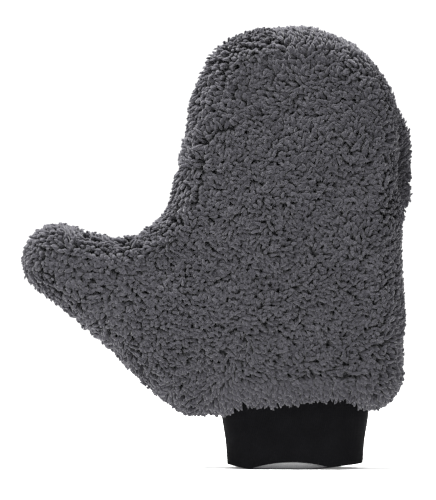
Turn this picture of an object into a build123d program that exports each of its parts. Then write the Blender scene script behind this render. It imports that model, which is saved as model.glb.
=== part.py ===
from build123d import *

import math
import os

# A wash mitt with a thumb: a plush shell, a foam padding and a lining on each face, sewn round the
# edge, and a folded knit cuff. Each layer is parted at the two lines where the mitt bends, across
# the fingers and at the thumb. X runs to the right across the hand, Z up from the cuff's mouth to
# the fingertips, and Y through the thickness: the front face is at -Y and the back face at +Y.
# The origin is the centre of the cuff's mouth, on the surface that the cuff stands on.
# All sizes are in millimetres.

# --- Outline of the plush, as circles joined by tangent lines (centre X, centre Z, radius) ---
FINGERTIP_X, FINGERTIP_Z, FINGERTIP_R = -0.5, 208.5, 70.5
CROTCH_X, CROTCH_Z, CROTCH_R = FINGERTIP_X - FINGERTIP_R - 40.0, 181.5, 35.0
THUMB_TIP_X, THUMB_TIP_Z, THUMB_TIP_R = CROTCH_X - 38.0, 131.0, 23.5
HEEL_X, HEEL_Z, HEEL_R = CROTCH_X + 48.5, 54.5, 22.0
CORNER_X, CORNER_Z, CORNER_R = FINGERTIP_X + FINGERTIP_R - 24.0, 59.0, 22.5

# --- Thickness of the filled mitt ---
CROWN_X, CROWN_Z = -10.0, 150.0  # where the mitt is thickest
HALF_THICKNESS = 29.0  # from the seam plane to the pile's tips at the crown
CROWN_R = 1400.0  # radius of the crowned faces
EDGE_R = 0.62 * HALF_THICKNESS  # rounding of the pile round the edge

# --- Layers, from the outside in ---
SHELL = 10.0  # pile and ground cloth
PADDING = 4.0  # foam
LINING = 1.0
SEAM_DEPTH = 2.8  # seam allowance turned inside the shell
SEAM_CLOTH = 0.9  # ground cloth in the seam allowance

# --- Threads ---
THREAD = 0.5
OVERLOCK_PITCH = 5.0
LINING_PITCH = 5.0
LINING_STITCH = 4.0
JOIN_PITCH = 5.0
SIDE_PITCH = 3.0
STITCH_MARGIN = 3.5  # stitches stay this far from the lines where the mitt bends

# --- Cuff: half width, half depth of its outside at each height ---
MOUTH_HALF_WIDTH, MOUTH_HALF_DEPTH = 42.5, 19.0
FLARE_HALF_WIDTH, FLARE_HALF_DEPTH, FLARE_Z = 46.3, 15.5, 33.0
TOP_HALF_WIDTH, TOP_HALF_DEPTH, TOP_Z = 46.3, 14.5, 54.0
CUFF_WALL = 2.2  # two layers of knit, folded at the mouth
CUFF_CLEARANCE = 0.3
JOIN_DEPTH = 6.0  # of the cuff's top edge that the join thread wraps
RIM_ARCH_HALF_SPAN, RIM_ARCH_HEIGHT = 28.0, 4.5  # the front of the mouth lifts off the surface

# --- Folds: the thumb bends about a vertical line, the fingers about a line across the hand ---
THUMB_FOLD_X = CROTCH_X + 18.0
THUMB_FOLD_R = HALF_THICKNESS
FINGER_FOLD_Z = FINGERTIP_Z - 12.5
FINGER_FOLD_R = HALF_THICKNESS + 3.0
FOLD_GAP = 0.35

# --- Derived values ---
PADDING_AT = SHELL
LINING_AT = SHELL + PADDING
CAVITY_AT = SHELL + PADDING + LINING
THUMB_FOLD_TOP = CROTCH_Z - math.sqrt(CROTCH_R**2 - (THUMB_FOLD_X - CROTCH_X) ** 2) + 0.5
SEAM_CLEARANCE = SEAM_CLOTH + 2 * THREAD  # the padding stays this far from the seam plane
REACH = 500.0  # longer than the mitt


def circles(inset):
    """The outline's circles, inset from the pile's tips. A negative radius is a concave arc."""
    return [
        (FINGERTIP_X, FINGERTIP_Z, FINGERTIP_R - inset),
        (CROTCH_X, CROTCH_Z, -CROTCH_R - inset),
        (THUMB_TIP_X, THUMB_TIP_Z, THUMB_TIP_R - inset),
        (HEEL_X, HEEL_Z, HEEL_R - inset),
        (CORNER_X, CORNER_Z, CORNER_R - inset),
    ]


def tangent_angle(a, b):
    """The outward direction, as an angle, of the line tangent to circles a and b."""
    dx, dz = b[0] - a[0], b[1] - a[1]
    tilt = math.asin((b[2] - a[2]) / math.hypot(dx, dz))
    return math.atan2(dz, dx) - math.pi / 2 - tilt


def on_circle(circle, angle):
    x, z, r = circle
    return (x + r * math.cos(angle), z + r * math.sin(angle))


def outline(inset):
    """The mitt's closed outline in the XZ plane, inset from the pile's tips."""
    ring = circles(inset)
    n = len(ring)
    angles = [tangent_angle(ring[i], ring[(i + 1) % n]) for i in range(n)]
    edges = []
    for i in range(n):
        circle, after = ring[i], ring[(i + 1) % n]
        start, end = angles[i - 1], angles[i]
        turn = (end - start) % (2 * math.pi)
        if circle[2] < 0:
            turn -= 2 * math.pi
        middle = on_circle(circle, start + turn / 2)
        edges.append(ThreePointArc(on_circle(circle, start), middle, on_circle(circle, end)))
        edges.append(Line(on_circle(circle, end), on_circle(after, end)))
    return Plane.XZ * Wire(edges)


def crowned(inset):
    """The solid filled mitt, inset from the pile's tips."""
    slab = extrude(make_face(outline(inset)), amount=HALF_THICKNESS, both=True)
    centre_y = CROWN_R - HALF_THICKNESS
    for side in (-1, 1):
        slab &= Pos(CROWN_X, side * centre_y, CROWN_Z) * Sphere(CROWN_R - inset)
    radius = EDGE_R - inset
    if radius > 0:
        rims = [f for f in slab.faces() if f.geom_type == GeomType.SPHERE]
        slab = fillet([e for f in rims for e in f.edges()], radius=radius)
    return slab


def half_space(side, gap=0.0):
    """A block on one side of the seam plane, side -1 for the front and 1 for the back."""
    block = Box(2 * REACH, REACH, 2 * REACH)
    return Pos(0, side * (REACH / 2 + gap), 0) * block


def thumb_zone(grow):
    """Everything that turns with the thumb, grown by grow at the knuckle."""
    beyond = Pos(THUMB_FOLD_X - REACH / 2, 0, 0) * Box(REACH, REACH, 2 * REACH)
    height = THUMB_FOLD_TOP + grow
    knuckle = Pos(THUMB_FOLD_X, 0, height / 2) * Cylinder(THUMB_FOLD_R + grow, height)
    return beyond + knuckle


def fingers_zone(grow):
    """Everything that turns with the fingers, grown by grow at the knuckle."""
    beyond = Pos(0, 0, FINGER_FOLD_Z + REACH / 2) * Box(2 * REACH, REACH, REACH)
    knuckle = Rot(0, 90, 0) * Cylinder(FINGER_FOLD_R + grow, 2 * REACH)
    return beyond + Pos(0, 0, FINGER_FOLD_Z) * knuckle


def cuff_section(half_width, half_depth, z, grow):
    """The oval section of the cuff at height z."""
    width, depth = 2 * (half_width + grow), 2 * (half_depth + grow)
    return Pos(0, 0, z) * SlotOverall(width, depth)


def cuff_solid(grow):
    """The cuff's outer form, grown by grow, standing on its mouth."""
    return loft(
        [
            cuff_section(MOUTH_HALF_WIDTH, MOUTH_HALF_DEPTH, 0, grow),
            cuff_section(FLARE_HALF_WIDTH, FLARE_HALF_DEPTH, FLARE_Z, grow),
            cuff_section(TOP_HALF_WIDTH, TOP_HALF_DEPTH, TOP_Z, grow),
        ]
    )


def cuff():
    """The folded knit cuff. The front of the outer ply is lifted in an arch over the inner ply."""
    arch_r = (RIM_ARCH_HALF_SPAN**2 + RIM_ARCH_HEIGHT**2) / (2 * RIM_ARCH_HEIGHT)
    arch = Rot(90, 0, 0) * Cylinder(arch_r, REACH)
    arch = Pos(0, -REACH / 2, RIM_ARCH_HEIGHT - arch_r) * arch
    return cuff_solid(0) - cuff_solid(-CUFF_WALL) - (arch - cuff_solid(-CUFF_WALL / 2))


def seam_allowance(side):
    """The turned-in edge of one shell, lying against the seam plane."""
    ring = make_face(outline(SHELL - 0.5)) - make_face(outline(SHELL + SEAM_DEPTH))
    return extrude(ring, amount=-side * SEAM_CLOTH)


def layer(outer, inner):
    return crowned(outer) - crowned(inner)


def overlock_loop(depth, half_height):
    """One overlock stitch: a closed loop, with its hole along local Z."""
    outer = Rectangle(depth + 2 * THREAD, 2 * (half_height + THREAD))
    inner = Rectangle(depth, 2 * half_height)
    return extrude(outer - inner, amount=THREAD / 2, both=True)


def along(wire, pitch):
    """(point, direction along the wire) at even steps of about the pitch."""
    count = round(wire.length / pitch)
    return [(wire @ (i / count), wire % (i / count)) for i in range(count)]


def in_thumb(point, grow):
    beside = point.X < THUMB_FOLD_X + THUMB_FOLD_R + grow
    return point.X < THUMB_FOLD_X or beside and point.Z < THUMB_FOLD_TOP + grow


def in_fingers(point, grow):
    return point.Z > FINGER_FOLD_Z - FINGER_FOLD_R - grow


def body_at(point):
    """The body that a stitch at point turns with, or None where it would cross a fold."""
    for name, inside in (("thumb", in_thumb), ("fingers", in_fingers)):
        if inside(point, -STITCH_MARGIN):
            return name
        if inside(point, STITCH_MARGIN):
            return None
    return "hand"


def in_cuff(point):
    return abs(point.X) < TOP_HALF_WIDTH + 2 and point.Z < TOP_Z


def edge_threads(make_stitch, inset, pitch):
    """Each body's stitches along the outline at that inset."""
    found = {"hand": [], "thumb": [], "fingers": []}
    for point, direction in along(outline(inset), pitch):
        body = body_at(point)
        if body and not in_cuff(point):
            found[body].append(make_stitch(point, direction))
    return {body: Compound(children=stitches) for body, stitches in found.items()}


def shell_stitch(point, direction):
    """An overlock loop round both shells' seam allowances."""
    inward = direction.cross(Vector(0, 1, 0))
    centre = point + inward * (SEAM_DEPTH / 2)
    plane = Plane(origin=centre, x_dir=inward, z_dir=direction)
    return plane * overlock_loop(SEAM_DEPTH, SEAM_CLOTH)


def lining_stitch(point, direction):
    """A ladder stitch from the front lining to the back one."""
    return Plane(origin=point, z_dir=(0, 1, 0)) * Cylinder(THREAD / 2, LINING_STITCH)


def join_thread():
    """Overlock loops over the cuff's top edge, which catch the shells and the linings."""
    middle = cuff_section(TOP_HALF_WIDTH, TOP_HALF_DEPTH, TOP_Z - JOIN_DEPTH / 2, -CUFF_WALL / 2)
    loops = []
    for point, direction in along(middle.faces()[0].outer_wire(), JOIN_PITCH):
        outward = direction.cross(Vector(0, 0, 1))
        plane = Plane(origin=point + Vector(0, 0, THREAD), x_dir=Vector(0, 0, 1), z_dir=direction)
        loops.append(plane * overlock_loop(JOIN_DEPTH, CUFF_WALL / 2 + 2 * CUFF_CLEARANCE))
    return Compound(children=loops)


def side_thread():
    """Flat stitches across the seam that closes the cuff, on the side away from the thumb."""
    stitches = []
    count = int((FLARE_Z - 2 * SIDE_PITCH) / SIDE_PITCH)
    for i in range(count):
        z = SIDE_PITCH * (i + 1)
        share = z / FLARE_Z
        x = MOUTH_HALF_WIDTH + (FLARE_HALF_WIDTH - MOUTH_HALF_WIDTH) * share
        stitch = Rot(90, 0, 0) * Cylinder(THREAD / 2, LINING_STITCH)
        stitches.append(Pos(x, 0, z) * stitch)
    return Compound(children=stitches)


def node_name(body, piece):
    return piece if body == "hand" else f"{body}_{piece}"


def cloth_nodes():
    """The front and back of each layer, parted at the folds."""
    layers = (
        ("shell", layer(0, PADDING_AT), 0.0),
        ("padding", layer(PADDING_AT, LINING_AT), SEAM_CLEARANCE),
        ("lining", layer(LINING_AT, CAVITY_AT), 0.0),
    )
    passage = cuff_solid(CUFF_CLEARANCE)
    clear_of_folds = thumb_zone(FOLD_GAP) + fingers_zone(FOLD_GAP)
    nodes = {}
    for name, whole, gap in layers:
        for face, side in (("front", -1), ("back", 1)):
            piece = whole & half_space(side, gap)
            if name == "shell":
                piece += seam_allowance(side)
            piece -= passage
            nodes[f"{face}_{name}"] = piece - clear_of_folds
            nodes[f"thumb_{face}_{name}"] = piece & thumb_zone(0)
            nodes[f"fingers_{face}_{name}"] = piece & fingers_zone(0)
    return nodes


def thread_nodes():
    """The stitches round the edges of the shells and the linings."""
    seams = (
        ("shell_seam_thread", shell_stitch, SHELL, OVERLOCK_PITCH),
        ("lining_seam_thread", lining_stitch, LINING_AT + LINING / 2, LINING_PITCH),
    )
    nodes = {}
    for name, make_stitch, inset, pitch in seams:
        for body, threads in edge_threads(make_stitch, inset, pitch).items():
            nodes[node_name(body, name)] = threads
    return nodes


def cuff_nodes():
    return {
        "cuff": cuff(),
        "cuff_join_thread": join_thread(),
        "cuff_side_seam_thread": side_thread(),
    }


def main():
    os.makedirs("parts", exist_ok=True)
    for name, shape in {**cloth_nodes(), **thread_nodes(), **cuff_nodes()}.items():
        export_step(shape, f"parts/{name}.step")


main()
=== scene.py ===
import math

import bpy
import numpy as np
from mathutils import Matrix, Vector
from mathutils.geometry import delaunay_2d_cdt


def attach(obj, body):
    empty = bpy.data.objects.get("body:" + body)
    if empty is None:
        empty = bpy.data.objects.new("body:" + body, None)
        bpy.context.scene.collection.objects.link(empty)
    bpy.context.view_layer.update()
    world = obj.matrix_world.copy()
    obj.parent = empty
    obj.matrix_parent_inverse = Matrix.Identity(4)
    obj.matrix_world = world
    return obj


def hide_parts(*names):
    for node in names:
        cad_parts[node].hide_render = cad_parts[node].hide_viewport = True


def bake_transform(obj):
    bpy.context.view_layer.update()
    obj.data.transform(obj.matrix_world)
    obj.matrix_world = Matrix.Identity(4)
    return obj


# The wash mitt's looks, in metres, in the row frame: X across the hand, Z towards the fingertips,
# the front face at -Y.

# --- The pile's outline and thickness, as in the CAD ---
CIRCLES = [  # centre x, centre z, radius; a negative radius is a concave arc
    (-0.0005, 0.2085, 0.0705),
    (-0.111, 0.1815, -0.035),
    (-0.149, 0.131, 0.0235),
    (-0.0625, 0.0545, 0.022),
    (0.046, 0.059, 0.0225),
]
CROWN_X, CROWN_Z, CROWN_R = -0.010, 0.150, 1.4
HALF_THICKNESS = 0.029
EDGE_R = 0.62 * HALF_THICKNESS

# --- Where the edge stands out from the outline or falls short of it: x, z, how far ---
EDGE_SHIFTS = [
    (0.067, 0.228, -0.0014),
    (0.059, 0.246, -0.0018),
    (0.046, 0.261, -0.0008),
    (-0.028, 0.273, 0.0031),
    (-0.045, 0.263, 0.0038),
    (-0.059, 0.248, 0.0009),
    (-0.068, 0.230, -0.0011),
    (-0.071, 0.211, -0.0016),
    (-0.077, 0.171, 0.0014),
    (-0.089, 0.154, 0.0011),
    (-0.165, 0.114, 0.0009),
    (-0.127, 0.081, -0.0009),
    (-0.089, 0.048, 0.0010),
    (0.069, 0.104, 0.0010),
    (0.069, 0.144, -0.0010),
]
EDGE_SHIFT_REACH = 0.0145

# --- Layers: how far each face lies inside the pile's tips ---
GROUND_AT, GROUND_THICK = 0.0088, 0.0011
PADDING_AT, PADDING_END = 0.0103, 0.0137
LINING_AT, LINING_THICK = 0.0142, 0.0007

# --- Cuff: height, half width, half depth ---
CUFF_RINGS = [
    (0.0, 0.0425, 0.019),
    (0.0176, 0.0438, 0.0171),
    (0.033, 0.0463, 0.0155),
    (0.054, 0.0463, 0.0145),
]
CUFF_WALL = 0.0022
ARCH_HALF_SPAN, ARCH_HEIGHT = 0.028, 0.0045
LEFT_LIFT, RIGHT_LIFT = 0.0020, 0.0032  # the mouth's ends, off the floor
FRINGE = [  # x, and how high the pile ends above the floor there
    (-0.046, 0.0345),
    (-0.028, 0.0350),
    (-0.009, 0.0375),
    (0.013, 0.0412),
    (0.028, 0.0385),
    (0.046, 0.0375),
]

# --- Where the mitt bends ---
PARTS = ("hand", "thumb", "fingers")
SPLIT_Z = 0.158  # between the hand's pieces and the fingers'
THUMB_BEND = ((-0.086, 0, 0.158), (-0.1336, 0, 0.1427))

# --- Pile ---
TUFT_SPACING = 0.0019
TUFT_SIDES = 5
TUFT_STEPS = (0.0, 0.45, 0.70, 0.90, 1.0)
TUFT_PROFILE = (0.60, 0.95, 1.0, 0.80, 0.0)

# --- How far the simulated cloth moved, as a grid over (x, z) for each face ---
PUFF_CELL = 0.004
PUFF_CORNER = (-0.200, 0.0)
PUFF_SHAPE = (74, 74)
PUFF_SHARE, PUFF_LIMIT = 0.5, 0.0030
PUFF = {}  # filled by the simulation, and empty without it

# --- Camera and lights ---
LENS, SENSOR, PICTURE_SIDE = 300, 36, 0.315  # the picture's long side at the mitt
CAMERA_TARGET = (-0.0485, 0.0, 0.1372)
CAMERA_AZIMUTH, CAMERA_ELEVATION = 4.0, 0.4
LIGHTS_AT = (-0.04, 0, 0.14)
LIGHTS = [  # name, place, size, watts
    ("key", (-0.55, -1.2, 1.35), 0.9, 8.0),
    ("fill", (0.9, -1.1, 0.7), 1.0, 3.0),
    ("top", (-0.30, 0.00, 1.20), 0.8, 88.0),
]
WORLD_LIGHT = 0.80

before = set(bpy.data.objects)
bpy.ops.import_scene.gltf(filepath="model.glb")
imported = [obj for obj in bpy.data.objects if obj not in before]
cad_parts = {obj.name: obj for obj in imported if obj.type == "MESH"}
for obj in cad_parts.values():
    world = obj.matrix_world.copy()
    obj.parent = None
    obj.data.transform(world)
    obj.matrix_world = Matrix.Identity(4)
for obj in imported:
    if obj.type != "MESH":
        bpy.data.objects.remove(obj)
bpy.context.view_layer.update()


# ---------------------------------------------------------------- shape of the mitt
def tangent_angle(a, b):
    dx, dz = b[0] - a[0], b[1] - a[1]
    return math.atan2(dz, dx) - math.pi / 2 - math.asin((b[2] - a[2]) / math.hypot(dx, dz))


def outline_parts():
    """The outline's arcs (x, z, r, middle angle, half turn) and its lines (start, end)."""
    n = len(CIRCLES)
    angles = [tangent_angle(CIRCLES[i], CIRCLES[(i + 1) % n]) for i in range(n)]
    arcs, lines = [], []
    for i, (x, z, r) in enumerate(CIRCLES):
        turn = (angles[i] - angles[i - 1]) % (2 * math.pi)
        if r < 0:
            turn -= 2 * math.pi
        arcs.append((x, z, r, angles[i - 1] + turn / 2, turn / 2))
        nx, nz, nr = CIRCLES[(i + 1) % n]
        way = np.array([math.cos(angles[i]), math.sin(angles[i])])
        lines.append((np.array([x, z]) + r * way, np.array([nx, nz]) + nr * way))
    return arcs, lines


ARCS, LINES = outline_parts()


def inside(p):
    """How far each point (x, z) lies inside the pile's outline."""
    best = np.full(len(p), 1e9)
    signed = np.zeros(len(p))
    for x, z, r, middle, half in ARCS:
        v = (p - (x, z)) * np.sign(r)
        off = np.angle(np.exp(1j * (np.arctan2(v[:, 1], v[:, 0]) - middle)))
        gap = (abs(r) - np.hypot(v[:, 0], v[:, 1])) * np.sign(r)
        near = (np.abs(off) <= abs(half) + 1e-9) & (np.abs(gap) < best)
        best[near], signed[near] = np.abs(gap[near]), gap[near]
    for a, b in LINES:
        d = (b - a) / np.linalg.norm(b - a)
        v = p - a
        t = np.clip(v @ d, 0, np.linalg.norm(b - a))
        gap = np.linalg.norm(v - t[:, None] * d, axis=1)
        side = d[0] * v[:, 1] - d[1] * v[:, 0]
        near = gap < best
        best[near], signed[near] = gap[near], (np.sign(side) * gap)[near]
    return signed


def inward(p):
    """The direction, in the plane, that leads away from the outline."""
    h = 2e-4
    dx = inside(p + (h, 0)) - inside(p - (h, 0))
    dz = inside(p + (0, h)) - inside(p - (0, h))
    g = np.stack([dx, dz], 1)
    return g / np.maximum(np.linalg.norm(g, axis=1, keepdims=True), 1e-9)


def crown(p):
    """Half thickness at each point (x, z), to the pile's tips."""
    gone = (p[:, 0] - CROWN_X) ** 2 + (p[:, 1] - CROWN_Z) ** 2
    return np.sqrt(CROWN_R**2 - gone) - CROWN_R + HALF_THICKNESS


def overhang(p, depth):
    """How far the cut of cloth at that depth reaches beyond its seam when it is laid flat."""
    return crown(p) - EDGE_R + (math.pi / 2 - 1) * (EDGE_R - depth)


def wrap(p, depth):
    """Wraps points of the flat cut (x, z) round the filled mitt: (x, y, z) and how far each is
    from the seam along the cloth. y is positive."""
    d, way = inside(p), inward(p)
    wall = crown(p) - EDGE_R
    radius = EDGE_R - depth
    s = np.maximum(d - depth + overhang(p, depth), 0)
    turn = np.clip((s - wall) / radius, 0, math.pi / 2)
    bent = depth + radius * (1 - np.cos(turn))
    y = np.where(s < wall, s, wall + radius * np.sin(turn))
    flat = turn >= math.pi / 2
    moved = np.where(flat, 0, bent - d)
    q = p + way * moved[:, None]
    y = np.where(flat, crown(q) - depth, y)
    return np.stack([q[:, 0], y, q[:, 1]], 1), s


def flat_edge(depth, spacing):
    """The flat cut's edge as points (x, z)."""
    rim = []
    for i, (x, z, r, middle, half) in enumerate(ARCS):
        count = max(3, int(abs(2 * half * (abs(r) + 0.004)) / spacing))
        for t in np.linspace(-half, half, count):
            rim.append((x + r * math.cos(middle + t), z + r * math.sin(middle + t)))
        a, b = LINES[i]
        count = max(2, int(np.linalg.norm(b - a) / spacing))
        rim += [tuple(a + (b - a) * k / count) for k in range(1, count)]
    rim = np.array(rim)
    rim = rim - inward(rim) * (overhang(rim, depth) - depth)[:, None]
    keep = [0]
    for i in range(1, len(rim)):
        if np.linalg.norm(rim[i] - rim[keep[-1]]) > 0.6 * spacing:
            keep.append(i)
    if np.linalg.norm(rim[keep[-1]] - rim[0]) < 0.6 * spacing:
        keep.pop()
    return rim[keep]


def scattered(depth, spacing, margin, source):
    """Evenly scattered points of the flat cut that keep margin from its edge."""
    xs = np.arange(-0.20, 0.10, spacing)
    zs = np.arange(0.005, 0.31, spacing * math.sqrt(3) / 2)
    gx, gz = np.meshgrid(xs, zs)
    gx = gx + (np.arange(len(zs)) % 2)[:, None] * spacing / 2
    p = np.stack([gx.ravel(), gz.ravel()], 1)
    p = p + source.uniform(-0.28, 0.28, p.shape) * spacing
    return p[inside(p) - depth + overhang(p, depth) > margin]


def waves(p, scale, seed):
    """Smooth noise from -1 to 1 over points, with features of about scale."""
    source = np.random.default_rng(seed)
    total = np.zeros(len(p))
    for _ in range(14):
        k = source.normal(size=p.shape[1])
        k *= source.uniform(0.6, 1.5) * 2 * math.pi / (scale * np.linalg.norm(k) * 1.6)
        total += np.sin(p @ k + source.uniform(0, 2 * math.pi))
    return total / 5.0


def normals_of(p, depth):
    """Outward normals of the wrapped surface, by differences of the flat cut."""
    h = 1.5e-4
    ax = wrap(p + (h, 0), depth)[0] - wrap(p - (h, 0), depth)[0]
    az = wrap(p + (0, h), depth)[0] - wrap(p - (0, h), depth)[0]
    n = np.cross(az, ax)
    return n / np.maximum(np.linalg.norm(n, axis=1, keepdims=True), 1e-12)


def step(value, start, end):
    """0 before start, 1 after end and smooth between."""
    t = np.clip((value - start) / (end - start), 0, 1)
    return t * t * (3 - 2 * t)


def edge_shift(at):
    """How far the edge stands out from the even outline, fading inwards."""
    total = np.zeros(len(at))
    for x, z, far in EDGE_SHIFTS:
        total += far * np.exp(-((at[:, 0] - x) ** 2 + (at[:, 2] - z) ** 2) / EDGE_SHIFT_REACH**2)
    return total


def swell(at):
    """How far the cloth stands out from the even shape, for points (x, y, z)."""
    low = 0.0009 * waves(at, 0.055, 21) + 0.0005 * waves(at, 0.022, 22)
    y, z = at[:, 1], at[:, 2]
    # At the right edge the back panel bulges out behind a crease along the seam.
    right = step(at[:, 0], 0.036, 0.056)
    behind = step(y, 0.0005, 0.0060) * (1 - step(y, 0.018, 0.028))
    before = np.exp(-(((y + 0.006) / 0.008) ** 2))
    window = step(z, 0.160, 0.174) * (1 - step(z, 0.200, 0.234))
    crease = np.exp(-((y / 0.0028) ** 2)) * (0.25 + 0.75 * window)
    side = window * (0.0058 * behind - 0.0026 * before) - 0.0026 * crease
    return low + edge_shift(at) + right * side + puffed(at)


# ---------------------------------------------------------------- cloth simulation
def spread(x, z, values):
    """Scattered values as a smooth grid over (x, z)."""
    total, weight = np.zeros(PUFF_SHAPE), np.zeros(PUFF_SHAPE)
    i = ((x - PUFF_CORNER[0]) / PUFF_CELL).astype(int)
    k = ((z - PUFF_CORNER[1]) / PUFF_CELL).astype(int)
    np.add.at(total, (i, k), values)
    np.add.at(weight, (i, k), 1.0)
    for grid in (total, weight):
        for _ in range(3):
            for axis in (0, 1):
                grid += 0.5 * (np.roll(grid, 1, axis) + np.roll(grid, -1, axis))
                grid *= 0.5
    return total / np.maximum(weight, 1e-4)


def puffed(at):
    """How far the simulated cloth moved out at points (x, y, z)."""
    if not PUFF:
        return np.zeros(len(at))
    u = np.clip((at[:, 0] - PUFF_CORNER[0]) / PUFF_CELL - 0.5, 0, PUFF_SHAPE[0] - 1.01)
    v = np.clip((at[:, 2] - PUFF_CORNER[1]) / PUFF_CELL - 0.5, 0, PUFF_SHAPE[1] - 1.01)
    i, k = u.astype(int), v.astype(int)
    u, v = u - i, v - k
    back = step(at[:, 1], -0.004, 0.004)
    total = np.zeros(len(at))
    for grid, share in ((PUFF["front"], 1 - back), (PUFF["back"], back)):
        low = grid[i, k] * (1 - u) + grid[i + 1, k] * u
        high = grid[i, k + 1] * (1 - u) + grid[i + 1, k + 1] * u
        total += share * (low * (1 - v) + high * v)
    return total


def closed_form(spacing):
    """The ground cloth of both faces as one closed mesh: points, faces, outward normals, how
    far each point is from the seam, and how many points the seam has."""
    verts, faces = flat_mesh(GROUND_AT, spacing, 104)
    rim = len(flat_edge(GROUND_AT, spacing))
    at, s = wrap(verts, GROUND_AT)
    n = normals_of(verts, GROUND_AT)
    flip = np.array([1, -1, 1])
    points = np.concatenate([at * flip, at[rim:]])
    normals = np.concatenate([n * flip, n[rim:]])
    far = np.concatenate([s, s[rim:]])
    back = np.where(faces < rim, faces, faces + len(at) - rim)[:, ::-1]
    return points, np.concatenate([faces, back]), normals, far, rim


def simulate_cloth():
    """Fills the ground cloth with pressure while its seam draws in, and keeps how far it moved."""
    points, faces, normals, far, rim = closed_form(0.005)
    o = new_object("cloth_form", points, faces)
    held = o.vertex_groups.new(name="held")
    held.add([int(i) for i in np.where(outside_cuff(points, 0.006) < 0)[0]], 1.0, "REPLACE")
    seam = o.vertex_groups.new(name="seam")
    seam.add(list(range(rim)), 1.0, "REPLACE")
    cloth = o.modifiers.new("cloth", "CLOTH")
    cloth.settings.quality = 6
    cloth.settings.tension_stiffness = 80
    cloth.settings.compression_stiffness = 80
    cloth.settings.bending_stiffness = 5
    cloth.settings.vertex_group_mass = "held"
    cloth.settings.vertex_group_shrink = "seam"
    cloth.settings.shrink_max = 0.03
    cloth.settings.use_pressure = True
    cloth.settings.uniform_pressure_force = 4.0
    cloth.settings.effector_weights.gravity = 0.0
    cloth.point_cache.frame_end = 20
    for f in range(1, 21):
        bpy.context.scene.frame_set(f)
    shape = o.evaluated_get(bpy.context.evaluated_depsgraph_get())
    moved = np.array([tuple(v.co) for v in shape.data.vertices]) - points
    bpy.context.scene.frame_set(1)
    bpy.data.objects.remove(o)
    out = (moved * normals).sum(1)
    # A share of the move, capped, and less of it at the seam and the cuff, whose places are known.
    out = np.clip(PUFF_SHARE * (out - out.mean()), -PUFF_LIMIT, PUFF_LIMIT)
    out *= (0.25 + 0.75 * step(far, 0.0, 0.022)) * step(outside_cuff(points, 0.0), 0.0, 0.02)
    front = points[:, 1] <= 1e-6
    back = points[:, 1] >= -1e-6
    return {
        "front": spread(points[front, 0], points[front, 2], out[front]),
        "back": spread(points[back, 0], points[back, 2], out[back]),
    }


# ---------------------------------------------------------------- meshes
def new_object(name, verts, faces):
    mesh = bpy.data.meshes.new(name)
    mesh.from_pydata([tuple(v) for v in verts], [], [tuple(f) for f in faces])
    mesh.update()
    mesh.polygons.foreach_set("use_smooth", np.ones(len(mesh.polygons), bool))
    o = bpy.data.objects.new(name, mesh)
    bpy.context.scene.collection.objects.link(o)
    return o


def cuff_size(z):
    """The cuff's half width and half depth at height z."""
    heights = [r[0] for r in CUFF_RINGS]
    wide = np.interp(z, heights, [r[1] for r in CUFF_RINGS])
    deep = np.interp(z, heights, [r[2] for r in CUFF_RINGS])
    return wide, deep


def outside_cuff(p, grow):
    """How far points (x, y, z) lie outside the cuff's oval at their height."""
    wide, deep = cuff_size(p[:, 2])
    ax = np.maximum(np.abs(p[:, 0]) - (wide - deep), 0)
    return np.where(p[:, 2] < 0.056, np.hypot(ax, p[:, 1]) - deep - grow, 1.0)


def beside_cuff(p):
    """How far points (x, y, z) lie outside the cuff's top oval, whatever their height."""
    _, wide, deep = CUFF_RINGS[-1]
    ax = np.maximum(np.abs(p[:, 0]) - (wide - deep), 0)
    return np.hypot(ax, p[:, 1]) - deep


def out_of_cuff(p, grow):
    """Points inside the cuff's oval, moved out onto it."""
    wide, deep = cuff_size(p[:, 2])
    gap = outside_cuff(p, grow)
    near = np.clip(p[:, 0], -(wide - deep), wide - deep)
    v = np.stack([p[:, 0] - near, p[:, 1]], 1)
    v = v / np.maximum(np.linalg.norm(v, axis=1, keepdims=True), 1e-9)
    moved = p.copy()
    moved[:, 0] = np.where(gap < 0, near + v[:, 0] * (deep + grow), p[:, 0])
    moved[:, 1] = np.where(gap < 0, v[:, 1] * (deep + grow), p[:, 1])
    return moved


def flat_mesh(depth, spacing, seed):
    """Points and triangles of the flat cut. The first points are its edge."""
    rim = flat_edge(depth, spacing)
    core = scattered(depth, spacing, 0.55 * spacing, np.random.default_rng(seed))
    pts = np.concatenate([rim, core])
    edges = [(i, (i + 1) % len(rim)) for i in range(len(rim))]
    out = delaunay_2d_cdt([Vector(p) for p in pts], edges, [], 1, 1e-7)
    verts = np.array([tuple(v) for v in out[0]])
    faces = np.array([f for f in out[2] if len(f) == 3])
    a, b, c = verts[faces[:, 0]], verts[faces[:, 1]], verts[faces[:, 2]]
    turned = np.cross(b - a, c - a) < 0
    faces[turned] = faces[turned][:, ::-1]
    return verts, faces


def panel(verts, faces, depth, side):
    """The flat cut wrapped round one face of the mitt: side -1 is the front, 1 the back."""
    at, _ = wrap(verts, depth)
    n = normals_of(verts, depth)
    at[:, 1] *= side
    n[:, 1] *= side
    at += n * swell(at)[:, None]
    keep = (outside_cuff(at, 0.0006)[faces] > 0).any(1)
    at = out_of_cuff(at, 0.0006)
    kept = faces[keep]
    return at, (kept if side < 0 else kept[:, ::-1])


def used(at, faces):
    """Drops points that no face uses."""
    index = np.unique(faces)
    renumber = np.full(len(at), -1)
    renumber[index] = np.arange(len(index))
    return at[index], renumber[faces]


def part_at(at):
    """Which part each point belongs to. Thumb and fingers begin where they begin to bend."""
    start, end = np.array(THUMB_BEND[0]), np.array(THUMB_BEND[1])
    thumb = (at - start) @ (end - start) > 0
    return np.where(at[:, 2] > SPLIT_Z, "fingers", np.where(thumb, "thumb", "hand"))


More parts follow.
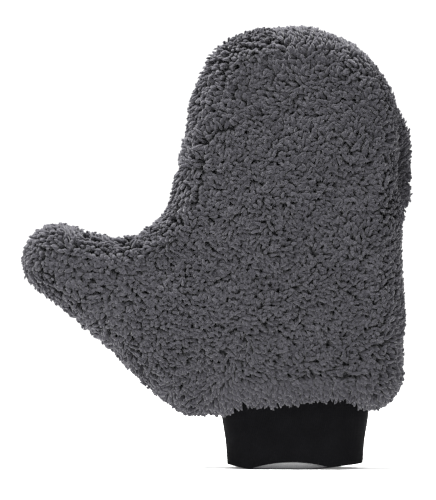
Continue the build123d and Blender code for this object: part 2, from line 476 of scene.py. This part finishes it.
def parted(at, faces, flat):
    """Each part's points and faces, and the width, length and area of its flat cut."""
    part = part_at(at[faces].mean(1))
    found = {}
    for name in PARTS:
        chosen = faces[part == name]
        a, b, c = (flat[chosen[:, k]] for k in range(3))
        area = float(np.abs(np.cross(b - a, c - a)).sum() / 2)
        size = np.ptp(flat[np.unique(chosen)], axis=0)
        found[name] = (*used(at, chosen), (float(size[0]), float(size[1]), area))
    return found


def bend(o, part):
    if part == "fingers":
        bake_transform(o)
    elif part == "thumb":
        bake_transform(o)
    else:
        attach(o, "hand")


def node_name(part, piece):
    return piece if part == "hand" else f"{part}_{piece}"


def thicken(o, thick):
    m = o.modifiers.new("thickness", "SOLIDIFY")
    m.thickness = thick
    m.offset = -1
    apply_modifiers(o)


def apply_modifiers(o):
    dg = bpy.context.evaluated_depsgraph_get()
    mesh = bpy.data.meshes.new_from_object(o.evaluated_get(dg))
    o.modifiers.clear()
    o.data = mesh


# ---------------------------------------------------------------- pile
def tuft_roots(side, source):
    """Where the tufts of one face stand: points, normals, distance from the seam and how
    strongly each belongs to the hem above the cuff, from 0 to 1."""
    even = scattered(GROUND_AT, TUFT_SPACING, 0.0004, source)
    more = scattered(GROUND_AT, 0.9 * TUFT_SPACING, 0.0004, source)
    flat = np.concatenate([even, more])
    at, s = wrap(flat, GROUND_AT)
    n = normals_of(flat, GROUND_AT)
    at[:, 1] *= side
    n[:, 1] *= side
    at = at + n * swell(at)[:, None]
    hem = (1 - step(beside_cuff(at), 0.0, 0.016)) * (1 - step(at[:, 2], 0.046, 0.074))
    # The pile is closer at the hem and the rim, but not where the thumb bends.
    bent = (at[:, 0] > -0.140) & (at[:, 0] < -0.080)
    dense = (hem > 0.55) | ((s > 0.002) & (s < 0.011) & ~bent)
    kept = (outside_cuff(at, 0.0014) > 0) & ((np.arange(len(flat)) < len(even)) | dense)
    return at[kept], n[kept], s[kept], hem[kept]


def lean_of(at, n, hem, source):
    """The directions in which the tufts lie over: in swirls, and downwards at the hem."""
    swirl = 1.9 * waves(at, 0.040, 31) + 1.3 * waves(at, 0.011, 32)
    swirl = swirl + source.normal(0, 0.65, len(at))
    ref = np.cross(n, (0.0, 1.0, 0.0))
    ref[np.linalg.norm(ref, axis=1) < 0.05] = (1.0, 0.0, 0.0)
    ref = ref - n * (ref * n).sum(1, keepdims=True)
    ref = ref / np.linalg.norm(ref, axis=1, keepdims=True)
    other = np.cross(n, ref)
    lean = ref * np.cos(swirl)[:, None] + other * np.sin(swirl)[:, None]
    down = n * n[:, 2:] - (0, 0, 1)
    lean = lean * (1 - 0.65 * hem)[:, None] + 1.6 * down * hem[:, None]
    return lean / np.linalg.norm(lean, axis=1, keepdims=True)


def tufts(side, source):
    """Every tuft of one face: its points, (n, rings * sides + 1, 3)."""
    at, n, s, hem = tuft_roots(side, source)
    count = len(at)
    lean = lean_of(at, n, hem, source)
    across = np.cross(n, lean)
    # A tuft starts almost upright and curls over, a little less at the rim.
    rim = np.exp(-((s / 0.016) ** 2))
    first = source.uniform(0.0, 0.30, count)
    last = source.uniform(1.3, 2.1, count) * (1 - 0.2 * rim)
    twist = source.normal(0, 0.9, count)
    length = 0.0098 * source.uniform(0.86, 1.12, count) * (1 + 0.06 * waves(at, 0.018, 33))
    length = length * (1 + rim * source.uniform(-0.09, 0.12, count))
    # Tufts are coarser on the thumb and low on the hand.
    thumb = np.clip((-0.075 - at[:, 0]) / 0.03, 0, 1)
    low = np.clip((0.085 - at[:, 2]) / 0.04, 0, 1)
    coarse = np.maximum(thumb, 0.8 * low)
    width = 0.00094 * source.uniform(0.8, 1.2, count) * (1 + 0.15 * coarse + 0.10 * rim)
    # Round the cuff the pile curls down, to an uneven fringe.
    first = first + 0.25 * hem
    end = np.interp(at[:, 0], *zip(*FRINGE)) + source.normal(0, 0.0012, count)
    length = length + hem * (np.clip((at[:, 2] - end) / 0.78, 0.0080, 0.0135) - length)
    return shape_tufts(at - n * 0.0006, n, lean, across, first, last, twist, length, width, source)


def shape_tufts(at, n, lean, across, first, last, twist, length, width, source):
    """Tubes along curved paths: tilted by first at the root and last at the tip, from the
    normal towards lean, and turned by twist towards across."""
    count, rings = len(at), len(TUFT_STEPS)
    fine = 24
    ts = (np.arange(fine) + 0.5) / fine
    pos = np.zeros((count, fine + 1, 3))
    way = np.zeros((count, fine, 3))
    for k, t in enumerate(ts):
        tilt = first + (last - first) * max(0.0, (t - 0.35) / 0.65) ** 1.2
        yaw = twist * (t - 0.3)
        flat_way = lean * np.cos(yaw)[:, None] + across * np.sin(yaw)[:, None]
        way[:, k] = n * np.cos(tilt)[:, None] + flat_way * np.sin(tilt)[:, None]
        pos[:, k + 1] = pos[:, k] + way[:, k] * (length / fine)[:, None]
    pos += at[:, None]
    points = np.zeros((count, (rings - 1) * TUFT_SIDES + 1, 3))
    spin = source.uniform(0, 2 * math.pi, count)
    for r, t in enumerate(TUFT_STEPS[:-1]):
        k = min(int(t * fine), fine - 1)
        centre, d = pos[:, k], way[:, k]
        side = np.cross(d, n)
        side /= np.maximum(np.linalg.norm(side, axis=1, keepdims=True), 1e-9)
        up = np.cross(side, d)
        for c in range(TUFT_SIDES):
            a = spin + 2 * math.pi * c / TUFT_SIDES + 0.5 * r
            rough = source.uniform(0.82, 1.18, count)
            w = (width * TUFT_PROFILE[r] * rough)[:, None]
            ring = side * np.cos(a)[:, None] * 1.15 + up * np.sin(a)[:, None] * 0.85
            points[:, r * TUFT_SIDES + c] = centre + ring * w
    points[:, -1] = pos[:, -1]
    return points


def tuft_faces():
    quads, tips = [], []
    rings = len(TUFT_STEPS) - 1
    for r in range(rings - 1):
        for c in range(TUFT_SIDES):
            a, b = r * TUFT_SIDES + c, r * TUFT_SIDES + (c + 1) % TUFT_SIDES
            quads.append((a, b, b + TUFT_SIDES, a + TUFT_SIDES))
    base = (rings - 1) * TUFT_SIDES
    for c in range(TUFT_SIDES):
        tips.append((base + c, base + (c + 1) % TUFT_SIDES, rings * TUFT_SIDES))
    return quads, tips


def pile_object(name, points, source):
    """One mesh of many tufts, with each tuft's shade and how far along it a point is."""
    count, per = len(points), points.shape[1]
    quads, tips = tuft_faces()
    offset = (np.arange(count) * per)[:, None]
    q = (np.array(quads).ravel()[None] + offset).reshape(-1, 4)
    t = (np.array(tips).ravel()[None] + offset).reshape(-1, 3)
    mesh = bpy.data.meshes.new(name)
    mesh.vertices.add(count * per)
    mesh.vertices.foreach_set("co", points.astype(np.float32).ravel())
    loops = np.concatenate([q.ravel(), t.ravel()]).astype(np.int32)
    starts = np.concatenate([np.arange(len(q)) * 4, len(q) * 4 + np.arange(len(t)) * 3])
    mesh.loops.add(len(loops))
    mesh.loops.foreach_set("vertex_index", loops)
    mesh.polygons.add(len(q) + len(t))
    mesh.polygons.foreach_set("loop_start", starts.astype(np.int32))
    mesh.update(calc_edges=True)
    mesh.polygons.foreach_set("use_smooth", np.ones(len(mesh.polygons), bool))
    shade = np.repeat(source.uniform(0, 1, count), per)
    along = np.tile(np.append(np.repeat(TUFT_STEPS[:-1], TUFT_SIDES), 1.0), count)
    for key, values in (("shade", shade), ("along", along)):
        layer = mesh.attributes.new(key, "FLOAT", "POINT")
        layer.data.foreach_set("value", values.astype(np.float32))
    o = bpy.data.objects.new(name, mesh)
    bpy.context.scene.collection.objects.link(o)
    return o


# ---------------------------------------------------------------- materials
class Nodes:
    """A short way to build a node material."""

    def __init__(self, name):
        self.material = bpy.data.materials.new(name)
        self.material.use_nodes = True
        self.tree = self.material.node_tree
        self.bsdf = self.tree.nodes["Principled BSDF"]

    def add(self, kind, inputs=(), **settings):
        node = self.tree.nodes.new(kind)
        for key, value in settings.items():
            setattr(node, key, value)
        for key, value in dict(inputs).items():
            self.set(node, key, value)
        return node

    def set(self, node, key, value):
        if isinstance(value, bpy.types.NodeSocket):
            self.tree.links.new(value, node.inputs[key])
        else:
            node.inputs[key].default_value = value

    def coords(self):
        return self.add("ShaderNodeTexCoord").outputs["Object"]

    def attribute(self, name):
        return self.add("ShaderNodeAttribute", attribute_name=name).outputs["Fac"]

    def noise(self, scale, detail=2.0, rough=0.5):
        inputs = {"Vector": self.coords(), "Scale": scale}
        inputs.update({"Detail": detail, "Roughness": rough})
        return self.add("ShaderNodeTexNoise", inputs).outputs["Fac"]

    def maths(self, kind, a, b=0.0):
        return self.add("ShaderNodeMath", {0: a, 1: b}, operation=kind).outputs[0]

    def ramp(self, fac, *stops):
        node = self.add("ShaderNodeValToRGB", {"Fac": fac})
        elements = node.color_ramp.elements
        while len(elements) < len(stops):
            elements.new(0.5)
        for element, (place, colour) in zip(elements, stops):
            element.position = place
            element.color = (*colour, 1)
        return node.outputs["Color"]

    def mix(self, fac, a, b, kind="MIX"):
        node = self.add("ShaderNodeMix", data_type="RGBA", blend_type=kind)
        for key, value in ((0, fac), (6, a), (7, b)):
            if isinstance(value, tuple):
                value = (*value, 1)
            self.set(node, key, value)
        return node.outputs[2]

    def finish(self, colour, rough, bump=None, distance=0.0003, strength=0.6, sheen=0.0, shine=0.25):
        self.set(self.bsdf, "Base Color", colour)
        self.set(self.bsdf, "Roughness", rough)
        self.set(self.bsdf, "Sheen Weight", sheen)
        self.set(self.bsdf, "Sheen Roughness", 0.5)
        self.set(self.bsdf, "Specular IOR Level", shine)
        if bump is not None:
            inputs = {"Height": bump, "Distance": distance, "Strength": strength}
            node = self.add("ShaderNodeBump", inputs)
            self.set(self.bsdf, "Normal", node.outputs["Normal"])
        return self.material


def pile_material():
    m = Nodes("plush_pile")
    shade, along = m.attribute("shade"), m.attribute("along")
    body = m.ramp(
        shade,
        (0.0, (0.023, 0.0223, 0.0264)),
        (0.5, (0.028, 0.0271, 0.0318)),
        (1.0, (0.034, 0.0329, 0.0385)),
    )
    patches = m.ramp(m.noise(38.0, 3.0, 0.5), (0.3, (0.40, 0.40, 0.42)), (0.7, (0.62, 0.62, 0.62)))
    body = m.mix(0.55, body, patches, "OVERLAY")
    # The tufts are painted darker towards their roots: painted shade in the gaps between the tufts.
    painted_root_shade = m.ramp(along, (0.0, (0.74, 0.74, 0.74)), (0.4, (0.92, 0.92, 0.92)), (0.7, (1, 1, 1)))
    colour = m.mix(1.0, body, painted_root_shade, "MULTIPLY")
    strands = m.noise(1900.0, 2.0, 0.7)
    rough = m.maths("ADD", m.maths("MULTIPLY", strands, 0.12), 0.82)
    return m.finish(colour, rough, strands, 0.0002, 0.5, 0.16, 0.06)


def knit_height(m, scale_x, scale_z):
    """Rows and columns of small knit stitches, over the object's X and Z."""
    split = m.add("ShaderNodeSeparateXYZ", {"Vector": m.coords()})
    wave_x = m.maths("SINE", m.maths("MULTIPLY", split.outputs["X"], scale_x))
    wave_z = m.maths("SINE", m.maths("MULTIPLY", split.outputs["Z"], scale_z))
    return m.maths("ADD", m.maths("MULTIPLY", wave_x, 0.5), m.maths("MULTIPLY", wave_z, 0.3))


def ground_material():
    m = Nodes("ground_cloth")
    loops = knit_height(m, 5200.0, 4300.0)
    colour = m.ramp(m.noise(900.0, 3.0), (0.3, (0.034, 0.034, 0.038)), (0.7, (0.052, 0.052, 0.057)))
    return m.finish(colour, 0.95, loops, 0.0003, 0.6, 0.1)


def lining_material():
    m = Nodes("tricot_lining")
    loops = knit_height(m, 7800.0, 5200.0)
    colour = m.ramp(m.noise(420.0, 4.0), (0.3, (0.040, 0.040, 0.045)), (0.7, (0.060, 0.060, 0.066)))
    rough = m.maths("ADD", m.maths("MULTIPLY", m.noise(160.0), 0.2), 0.55)
    return m.finish(colour, rough, loops, 0.0002, 0.6, 0.2)


def foam_material():
    m = Nodes("padding_foam")
    cells = m.add("ShaderNodeTexVoronoi", {"Vector": m.coords(), "Scale": 900.0}).outputs["Distance"]
    colour = m.ramp(cells, (0.0, (0.42, 0.40, 0.35)), (0.6, (0.66, 0.64, 0.58)))
    return m.finish(colour, 0.9, cells, 0.0005, 0.7)


def cuff_material():
    m = Nodes("cuff_knit")
    split = m.add("ShaderNodeSeparateXYZ", {"Vector": m.coords()})
    around = m.attribute("around")
    ribs = m.maths("SINE", m.maths("MULTIPLY", around, 2 * math.pi * 190))
    rows = m.maths("SINE", m.maths("MULTIPLY", split.outputs["Z"], 6200.0))
    knit = m.maths("ADD", m.maths("MULTIPLY", ribs, 0.5), m.maths("MULTIPLY", rows, 0.25))
    lint = m.noise(1400.0, 2.0, 0.8)
    colour = m.ramp(m.noise(70.0, 4.0), (0.3, (0.0014, 0.0014, 0.0017)), (0.75, (0.0024, 0.0024, 0.0029)))
    colour = m.mix(m.maths("GREATER_THAN", lint, 0.72), colour, (0.0042, 0.0042, 0.0050))
    # The hem band behind the arched lip is painted grey, lighter towards its top: a painted highlight
    # where light comes in under the arch.
    band = m.attribute("band")
    band_highlight = m.ramp(band, (0.05, (0.050, 0.050, 0.052)), (0.85, (0.22, 0.22, 0.222)))
    colour = m.mix(m.maths("GREATER_THAN", band, 0.02), colour, band_highlight)
    rough = m.maths("ADD", m.maths("MULTIPLY", m.noise(240.0), 0.15), 0.80)
    return m.finish(colour, rough, knit, 0.00025, 0.5, 0.0, 0.045)


def thread_material(name, dark, pale):
    m = Nodes(name)
    twist = m.noise(2600.0, 2.0)
    colour = m.ramp(twist, (0.35, dark), (0.65, pale))
    return m.finish(colour, 0.7, twist, 0.0001, 0.6, 0.15)


# ---------------------------------------------------------------- build
def paint(o, material):
    o.data.materials.clear()
    o.data.materials.append(material)


def build_shells(face, side):
    verts, faces = flat_mesh(GROUND_AT, 0.0032, 101)
    at, kept = panel(verts, faces, GROUND_AT, side)
    source = np.random.default_rng(11 if side < 0 else 12)
    points = tufts(side, source)
    root_part = part_at(points[:, 0])
    for part, (v, f, cut) in parted(at, kept, verts).items():
        cloth = new_object(f"{part}_{face}_shell_cloth", v, f)
        paint(cloth, GROUND)
        pile = pile_object(f"{part}_{face}_shell_pile", points[root_part == part], source)
        paint(pile, PILE)
        thicken(cloth, GROUND_THICK)
        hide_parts(node_name(part, f"{face}_shell"))
        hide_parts(node_name(part, f"{face}_shell"))
        bend(cloth, part)
        bend(pile, part)


def build_linings(face, side):
    verts, faces = flat_mesh(LINING_AT, 0.0036, 102)
    at, kept = panel(verts, faces, LINING_AT, side)
    for part, (v, f, cut) in parted(at, kept, verts).items():
        o = new_object(f"{part}_{face}_lining_cloth", v, f)
        paint(o, LINING)
        thicken(o, LINING_THICK)
        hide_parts(node_name(part, f"{face}_lining"))
        bend(o, part)


def build_paddings(face, side):
    verts, faces = flat_mesh(PADDING_AT, 0.0040, 103)
    at, kept = panel(verts, faces, PADDING_AT, side)
    for part, (v, f, _) in parted(at, kept, verts).items():
        o = new_object(f"{part}_{face}_padding_foam", v, f)
        paint(o, FOAM)
        thicken(o, PADDING_END - PADDING_AT)
        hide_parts(node_name(part, f"{face}_padding"))
        bend(o, part)


def oval(share, wide, deep):
    """A point on a stadium of those half sizes, and its outward direction."""
    straight = wide - deep
    whole = 4 * straight + 2 * math.pi * deep
    run = (share % 1.0) * whole
    if run < 2 * straight:
        return (-straight + run, -deep), (0.0, -1.0)
    run -= 2 * straight
    if run < math.pi * deep:
        a = -math.pi / 2 + run / deep
        return (straight + deep * math.cos(a), deep * math.sin(a)), (math.cos(a), math.sin(a))
    run -= math.pi * deep
    if run < 2 * straight:
        return (straight - run, deep), (0.0, 1.0)
    a = math.pi / 2 + (run - 2 * straight) / deep
    return (-straight + deep * math.cos(a), deep * math.sin(a)), (math.cos(a), math.sin(a))


def cuff_profile(x, y):
    """The knit's section at one place of the mouth, as (z, inset, strength of the painted highlight):
    down the outside, over the lip, down the hem band behind it, round the fold and up the inside."""
    arch_r = (ARCH_HALF_SPAN**2 + ARCH_HEIGHT**2) / (2 * ARCH_HEIGHT)
    base = LEFT_LIFT * step(-x, 0.026, 0.0425) + RIGHT_LIFT * step(x, 0.006, 0.046)
    lip = base + 0.0003
    if y < 0 and abs(x) < ARCH_HALF_SPAN:
        arch = math.sqrt(arch_r**2 - x**2) - arch_r + ARCH_HEIGHT
        lip = max(lip, arch * min(1.0, -y / 0.012))
    top, ply = CUFF_RINGS[-1][0], CUFF_WALL / 2
    edge, fold = ply / 2, ply / 2
    rows = [(top - (top - lip - edge) * k / 22, 0.0, 0.0) for k in range(22)]
    for a in (0.0, math.pi / 4, math.pi / 2):
        rows.append((lip + edge - edge * math.sin(a), edge - edge * math.cos(a), 0.0))
    low = min(base + fold, lip)
    # Down the hem band, which gets a painted highlight that grows towards the lip.
    for k in range(5):
        z = lip - (lip - low) * k / 4
        rows.append((z, ply, min(1.0, max(0.0, (z - base - 0.0005) / ARCH_HEIGHT))))
    for a in (math.pi / 4, math.pi / 2, 3 * math.pi / 4, math.pi):
        rows.append((low - min(fold, low - base) * math.sin(a), ply + fold - fold * math.cos(a), 0.0))
    rows += [(low + (top - low) * k / 22, CUFF_WALL, 0.0) for k in range(1, 23)]
    return rows


def build_cuff():
    """The cuff as one strip of knit, folded at the mouth: down the outside and up the inside."""
    around = 240
    verts, marks, band_highlights = [], [], []
    for i in range(around):
        share = i / around
        (x0, y0), _ = oval(share, *cuff_size(0.0))
        for z, inset, band in cuff_profile(x0, y0):
            (x, y), (nx, ny) = oval(share, *cuff_size(z))
            verts.append((x - nx * inset, y - ny * inset, z))
            marks.append(share)
            band_highlights.append(band)
    per = len(verts) // around
    v = np.array(verts)
    ripple = 0.00035 * waves(v, 0.030, 41) * np.clip(v[:, 2] / 0.010, 0, 1)
    v[:, 1] += ripple * np.sign(v[:, 1])
    faces = []
    for i in range(around):
        j = (i + 1) % around
        for k in range(per - 1):
            faces.append((i * per + k, j * per + k, j * per + k + 1, i * per + k + 1))
    faces = [f[::-1] for f in faces]
    o = new_object("cuff_folded_knit", v, faces)
    # The band values carry the painted highlight on the hem band.
    for key, values in (("around", marks), ("band", band_highlights)):
        layer = o.data.attributes.new(key, "FLOAT", "POINT")
        layer.data.foreach_set("value", np.array(values, np.float32))
    paint(o, CUFF)
    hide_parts("cuff")
    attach(o, "hand")


def build_threads():
    for name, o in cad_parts.items():
        if name.endswith("thread"):
            if name.startswith("cuff"):
                paint(o, CUFF_THREAD)
            else:
                paint(o, THREAD)


# ---------------------------------------------------------------- studio
def build_studio():
    scene = bpy.context.scene
    rows = [(-6.0, 0.0), (-2.0, 0.0), (0.0, 0.0), (2.0, 0.0), (6.0, 0.0)]
    rows += [(6.0 + math.sin(a), 1.0 - math.cos(a)) for a in np.linspace(0.1, math.pi / 2, 14)]
    rows.append((7.0, 7.0))
    verts = [(x, y, z) for y, z in rows for x in np.linspace(-6, 6, 9)]
    faces = [
        (r * 9 + c, r * 9 + c + 1, (r + 1) * 9 + c + 1, (r + 1) * 9 + c)
        for r in range(len(rows) - 1)
        for c in range(8)
    ]
    floor = new_object("floor", verts, faces)
    m = Nodes("floor_paper")
    grain = m.noise(30.0, 2.0)
    colour = m.ramp(grain, (0.0, (0.94, 0.94, 0.94)), (1.0, (0.96, 0.96, 0.96)))
    # The paper glows a little behind the mitt, so that it stays white there.
    split = m.add("ShaderNodeSeparateXYZ", {"Vector": m.coords()})
    behind = m.maths("MULTIPLY", m.maths("ADD", split.outputs["Y"], 0.15), 5.0)
    m.set(m.bsdf, "Emission Color", m.ramp(behind, (0.0, (0, 0, 0)), (1.0, (1, 1, 1))))
    m.set(m.bsdf, "Emission Strength", 0.25)
    floor.data.materials.append(m.finish(colour, 0.9))
    world = bpy.data.worlds.new("studio")
    world.use_nodes = True
    world.node_tree.nodes["Background"].inputs["Color"].default_value = (1, 1, 1, 1)
    world.node_tree.nodes["Background"].inputs["Strength"].default_value = WORLD_LIGHT
    scene.world = world
    for name, place, size, power in LIGHTS:
        light = bpy.data.lights.new(name, "AREA")
        light.size = size
        light.energy = power
        o = bpy.data.objects.new(name, light)
        scene.collection.objects.link(o)
        o.location = place
        o.rotation_mode = "QUATERNION"
        o.rotation_quaternion = (Vector(LIGHTS_AT) - Vector(place)).to_track_quat("-Z", "Y")
    scene.view_settings.view_transform = "Standard"


def build_camera():
    scene = bpy.context.scene
    camera = bpy.data.cameras.new("camera")
    camera.lens = LENS
    camera.sensor_width = SENSOR
    o = bpy.data.objects.new("camera", camera)
    scene.collection.objects.link(o)
    target = Vector(CAMERA_TARGET)
    azimuth, elevation = math.radians(CAMERA_AZIMUTH), math.radians(CAMERA_ELEVATION)
    distance = PICTURE_SIDE * LENS / SENSOR
    back = Vector(
        (
            math.sin(azimuth) * math.cos(elevation),
            -math.cos(azimuth) * math.cos(elevation),
            math.sin(elevation),
        )
    )
    o.location = target + back * distance
    o.rotation_mode = "QUATERNION"
    o.rotation_quaternion = (-back).to_track_quat("-Z", "Y")
    scene.camera = o


PILE, GROUND, LINING, FOAM, CUFF = (
    pile_material(),
    ground_material(),
    lining_material(),
    foam_material(),
    cuff_material(),
)
THREAD = thread_material("seam_thread", (0.030, 0.030, 0.034), (0.065, 0.065, 0.072))
CUFF_THREAD = thread_material("cuff_thread", (0.008, 0.008, 0.009), (0.018, 0.018, 0.021))

PUFF.update(simulate_cloth())
for face_name, face_side in (("front", -1), ("back", 1)):
    build_shells(face_name, face_side)
    build_linings(face_name, face_side)
    build_paddings(face_name, face_side)
build_cuff()
build_threads()
build_studio()
build_camera()
